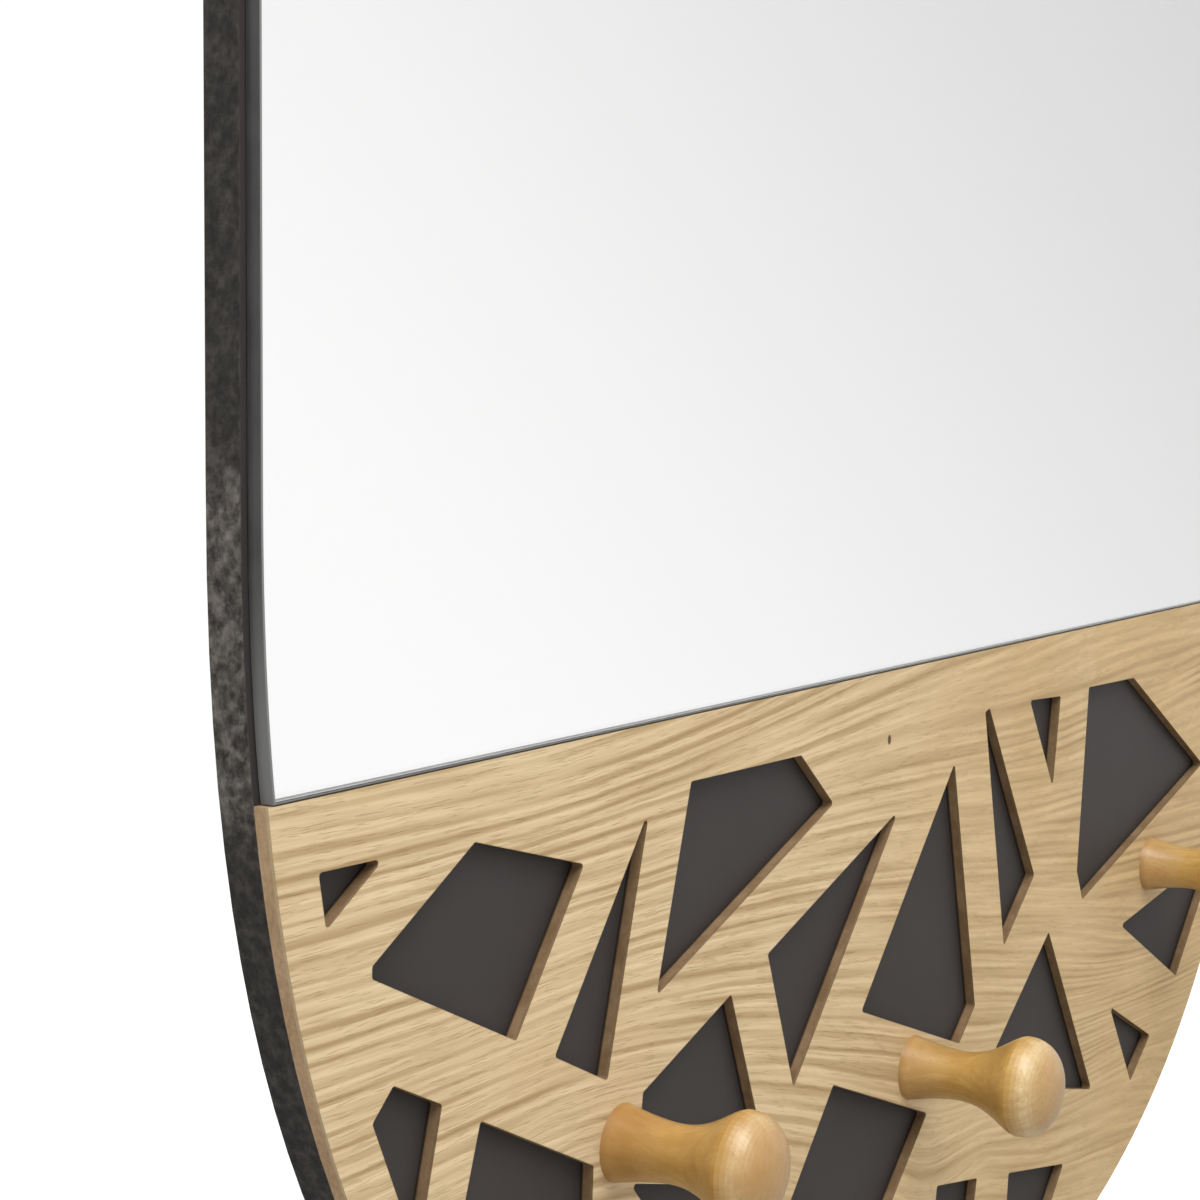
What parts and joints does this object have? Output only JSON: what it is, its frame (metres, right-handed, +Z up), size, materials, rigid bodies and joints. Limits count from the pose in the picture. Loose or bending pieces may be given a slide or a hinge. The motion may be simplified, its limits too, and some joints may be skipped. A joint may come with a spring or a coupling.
{
  "type": "mirror with hooks",
  "caption": "Wall mirror with rounded ends and an oak faced lower panel with shard shaped cut-outs that carries turned wooden coat pegs.",
  "frame": {"origin": "in the plane of the board's back, midway between the entry holes of the two keyhole plates, which is where it hangs", "axes": "+X along the wall to the viewer's right, +Z up, -Y out of the mirror towards the viewer, so +Y points into the wall"},
  "size_m": [0.52, 0.0507, 0.75],
  "materials": {
    "board_paint": "fibreboard painted charcoal black, matt, with a rougher mottled cut edge",
    "clear_glass": "clear float glass with ground edges",
    "silvering": "silver coat behind the glass",
    "mounting_tape": "double sided tape",
    "fibreboard": "bare fibreboard, cut edge",
    "oak_veneer": "light oak veneer, open grain running across, clear matt lacquer",
    "peg_wood": "turned hardwood, honey coloured, satin lacquer",
    "screw_steel": "yellow zinc plated steel",
    "plate_steel": "bright zinc plated sheet steel",
    "felt": "pressed felt"
  },
  "bodies": {
    "root": {"backing_board": "board_paint", "mirror_glass": "clear_glass", "mirror_silvering": "silvering", "tape_strip_1": "mounting_tape", "tape_strip_2": "mounting_tape", "tape_strip_3": "mounting_tape", "tape_strip_4": "mounting_tape", "tape_strip_5": "mounting_tape", "panel_core": "fibreboard", "panel_veneer": "oak_veneer", "peg_left": "peg_wood", "peg_centre": "peg_wood", "peg_right": "peg_wood", "peg_screws": "screw_steel", "hanger_plate_left": "plate_steel", "hanger_plate_right": "plate_steel", "hanger_screws": "screw_steel", "wall_pad_upper_left": "felt", "wall_pad_upper_right": "felt", "wall_pad_lower_left": "felt", "wall_pad_lower_right": "felt"}
  },
  "joints": []
}
